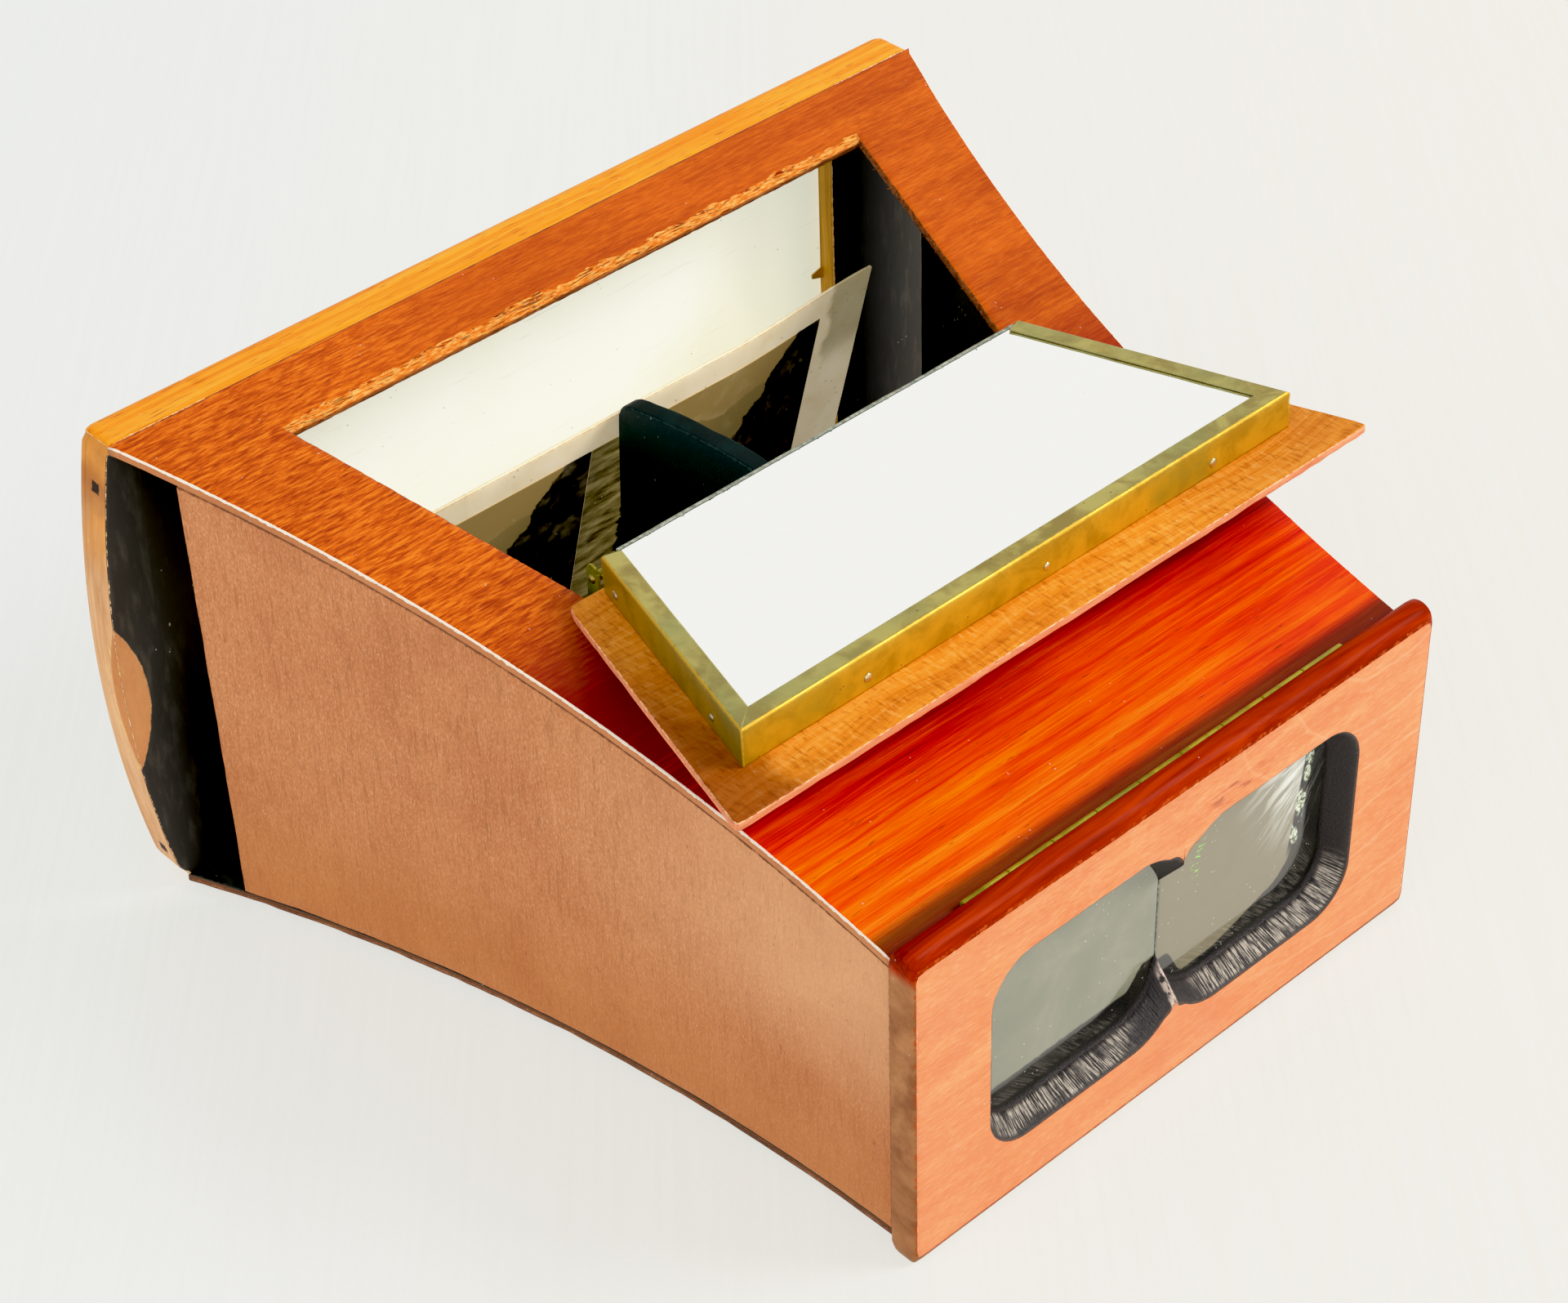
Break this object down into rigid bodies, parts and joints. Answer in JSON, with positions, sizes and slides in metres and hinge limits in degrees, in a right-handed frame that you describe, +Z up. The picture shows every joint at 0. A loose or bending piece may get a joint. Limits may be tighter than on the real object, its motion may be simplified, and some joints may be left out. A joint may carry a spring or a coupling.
{
  "type": "brewster stereoscope",
  "caption": "Tapered wooden stereoscope with hinged eyepiece board, brass-framed mirror lid over a top window, opal glass back and a stereo card inside.",
  "frame": {"origin": "middle of the footprint, on the surface the viewer stands on", "axes": "+X to the viewer's right, +Y from the eyepieces to the back frame, +Z up"},
  "size_m": [0.242, 0.2056, 0.1217],
  "materials": {
    "varnished_top": "varnished, worn",
    "varnished_bottom": "worn",
    "varnished_side": "worn varnish",
    "eyepiece_wood": "worn varnish",
    "frame_top_wood": "varnished",
    "frame_wood": "worn varnish",
    "lid_wood": "rough",
    "inner_wood": "stained dark",
    "blackened_wood": "matt black paint",
    "hinge_brass": "tarnished",
    "frame_brass": "aged satin",
    "fastener_brass": "satin",
    "nail_iron": "dull",
    "opal_glass": "milky",
    "lens_glass": "polished",
    "mirror": "silvered",
    "card": "matt",
    "print": "sepia, slight gloss"
  },
  "bodies": {
    "viewer_body": {"top_board": "varnished_top", "bottom_board": "varnished_bottom", "left_side_panel": "varnished_side", "right_side_panel": "varnished_side", "front_top_rail": "inner_wood", "front_bottom_rail": "inner_wood", "hinge_batten": "inner_wood", "septum": "blackened_wood", "back_frame_top_rail": "frame_top_wood", "back_frame_bottom_rail": "frame_wood", "back_frame_left_stile": "frame_wood", "back_frame_right_stile": "frame_wood", "back_frame_nails": "nail_iron", "opal_glass": "opal_glass", "glazing_sprigs": "fastener_brass", "front_hinge_body_leaf": "hinge_brass", "front_hinge_body_screws": "fastener_brass", "front_hinge_pin": "fastener_brass", "lid_hinge_bracket": "hinge_brass", "lid_hinge_bracket_screws": "fastener_brass", "lid_hinge_pin": "fastener_brass"},
    "eyepiece_flap": {"eyepiece_board": "eyepiece_wood", "left_lens": "lens_glass", "right_lens": "lens_glass", "lens_frame": "inner_wood", "lens_frame_screws": "fastener_brass", "front_hinge_plate_leaf": "hinge_brass", "front_hinge_plate_screws": "fastener_brass"},
    "mirror_lid": {"lid_board": "lid_wood", "lid_hinge_leaf": "hinge_brass", "lid_leaf_rivets": "fastener_brass", "mirror_frame": "frame_brass", "mirror_frame_nails": "fastener_brass", "mirror_backing": "inner_wood", "mirror_glass": "mirror"},
    "card": {"stereo_card": "card", "card_prints": "print"}
  },
  "joints": [
    {"name": "lid_hinge", "type": "hinge", "parent": "viewer_body", "child": "mirror_lid", "pos_m": [0, 0.00705, 0.10305], "axis": [-1, 0, 0], "range_deg": [0, 164.8]},
    {"name": "eyepiece_hinge", "type": "hinge", "parent": "viewer_body", "child": "eyepiece_flap", "pos_m": [0, -0.09525, 0.07985], "axis": [-1, 0, 0], "range_deg": [0, 85]},
    {"name": "card_slide", "type": "slide", "parent": "viewer_body", "child": "card", "axis": [1, 0, 0], "range_m": [0, 0.02]}
  ]
}
